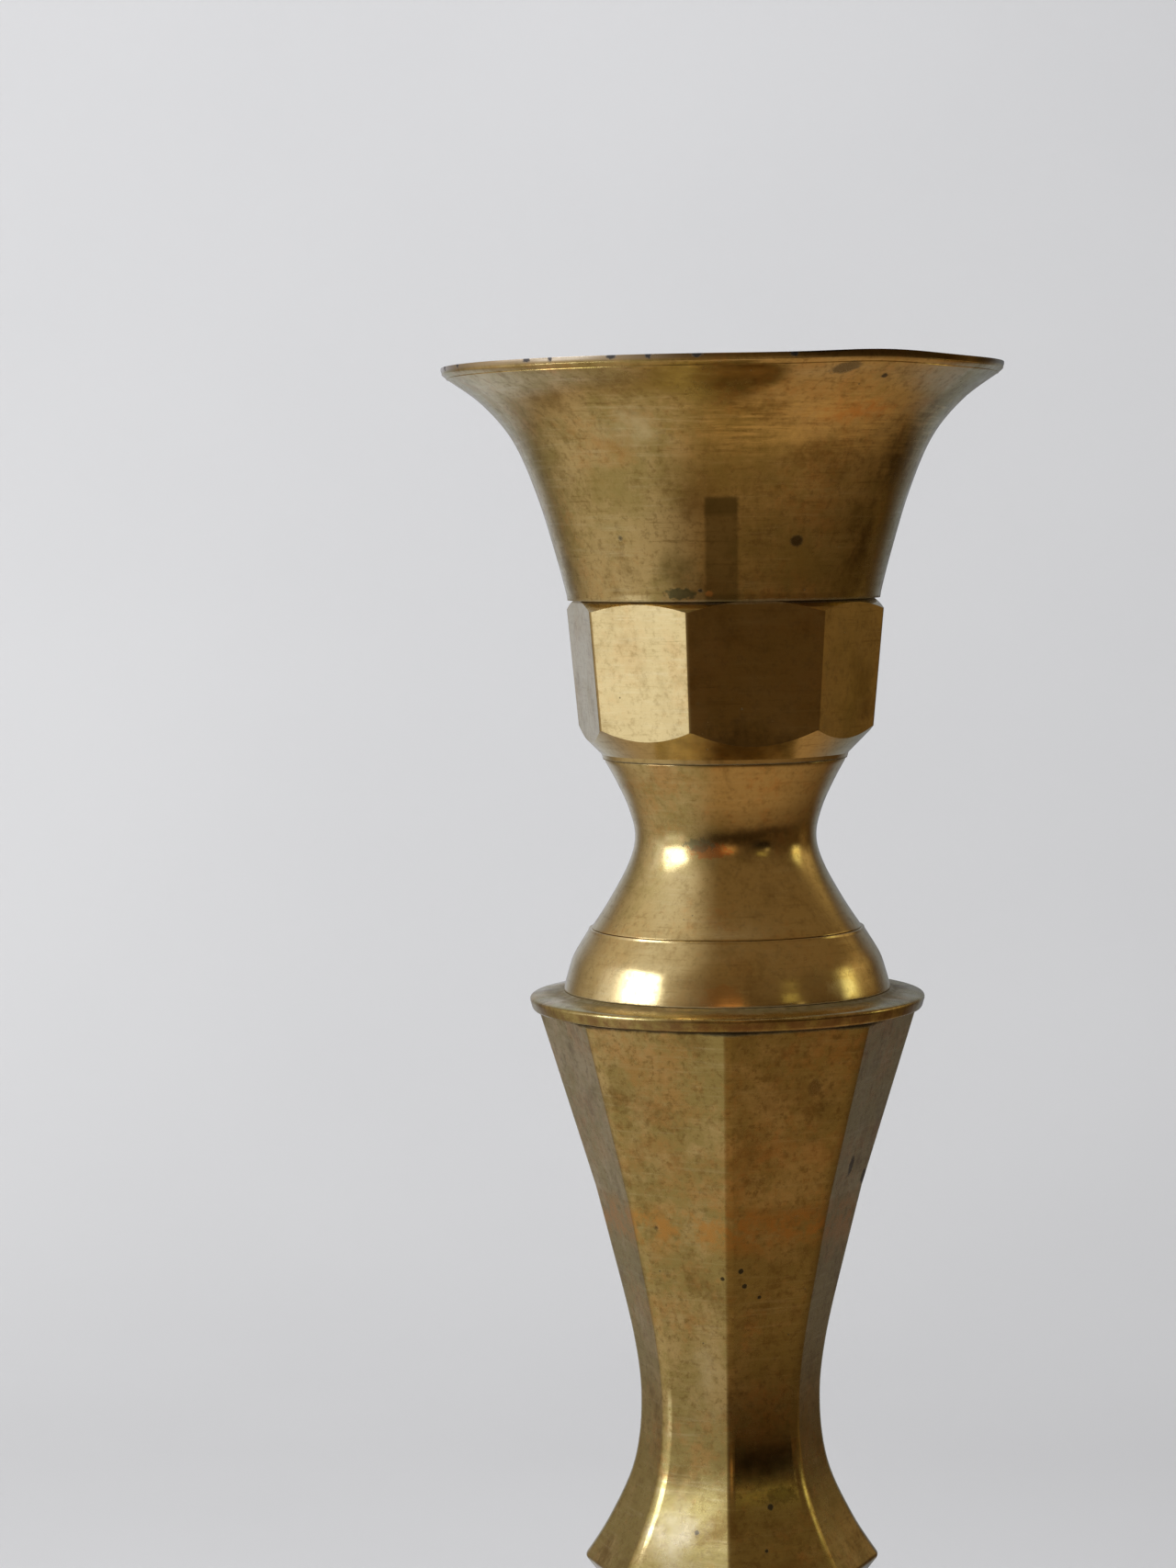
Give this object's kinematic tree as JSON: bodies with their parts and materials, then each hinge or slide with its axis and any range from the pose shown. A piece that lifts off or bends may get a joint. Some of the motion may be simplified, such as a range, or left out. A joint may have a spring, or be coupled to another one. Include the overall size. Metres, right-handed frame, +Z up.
{
  "type": "candlestick",
  "caption": "Tall brass altar candlestick: trumpet-shaped candle cup over an octagonal collar, turned neck, flange and octagonal stem on a hollow octagonal foot.",
  "frame": {"origin": "centre of the foot, on the surface it stands on", "axes": "+Z up along the candle; the knocked arc of the lip is at the front right, towards -Y and +X"},
  "size_m": [0.2, 0.2, 0.6109],
  "materials": {
    "cup_brass": "polished long ago, now mottled olive-brown",
    "collar_brass": "ground flats, aged",
    "neck_brass": "turned and polished, aged, with coppery patches",
    "flange_brass": "turned, dirt in the corners",
    "stem_brass": "cast, filed and polished flats, aged",
    "foot_brass": "cast, filed and polished outside, as cast inside",
    "hidden_brass": "dull, unpolished",
    "felt": "green wool felt",
    "steel": "dull, lightly rusted"
  },
  "bodies": {
    "root": {"bell_cup": "cup_brass", "candle_socket": "hidden_brass", "octagon_collar": "collar_brass", "neck": "neck_brass", "upper_shoulder": "neck_brass", "drip_flange": "flange_brass", "upper_baluster": "stem_brass", "middle_ring": "flange_brass", "lower_stem": "stem_brass", "lower_flange": "flange_brass", "lower_shoulder": "neck_brass", "base_neck": "neck_brass", "octagon_base": "foot_brass", "felt_ring": "felt", "tie_rod": "steel", "cup_washer": "hidden_brass", "cup_nut": "hidden_brass", "clamp_plate": "steel", "lock_washer": "steel", "base_nut": "steel"}
  },
  "joints": []
}
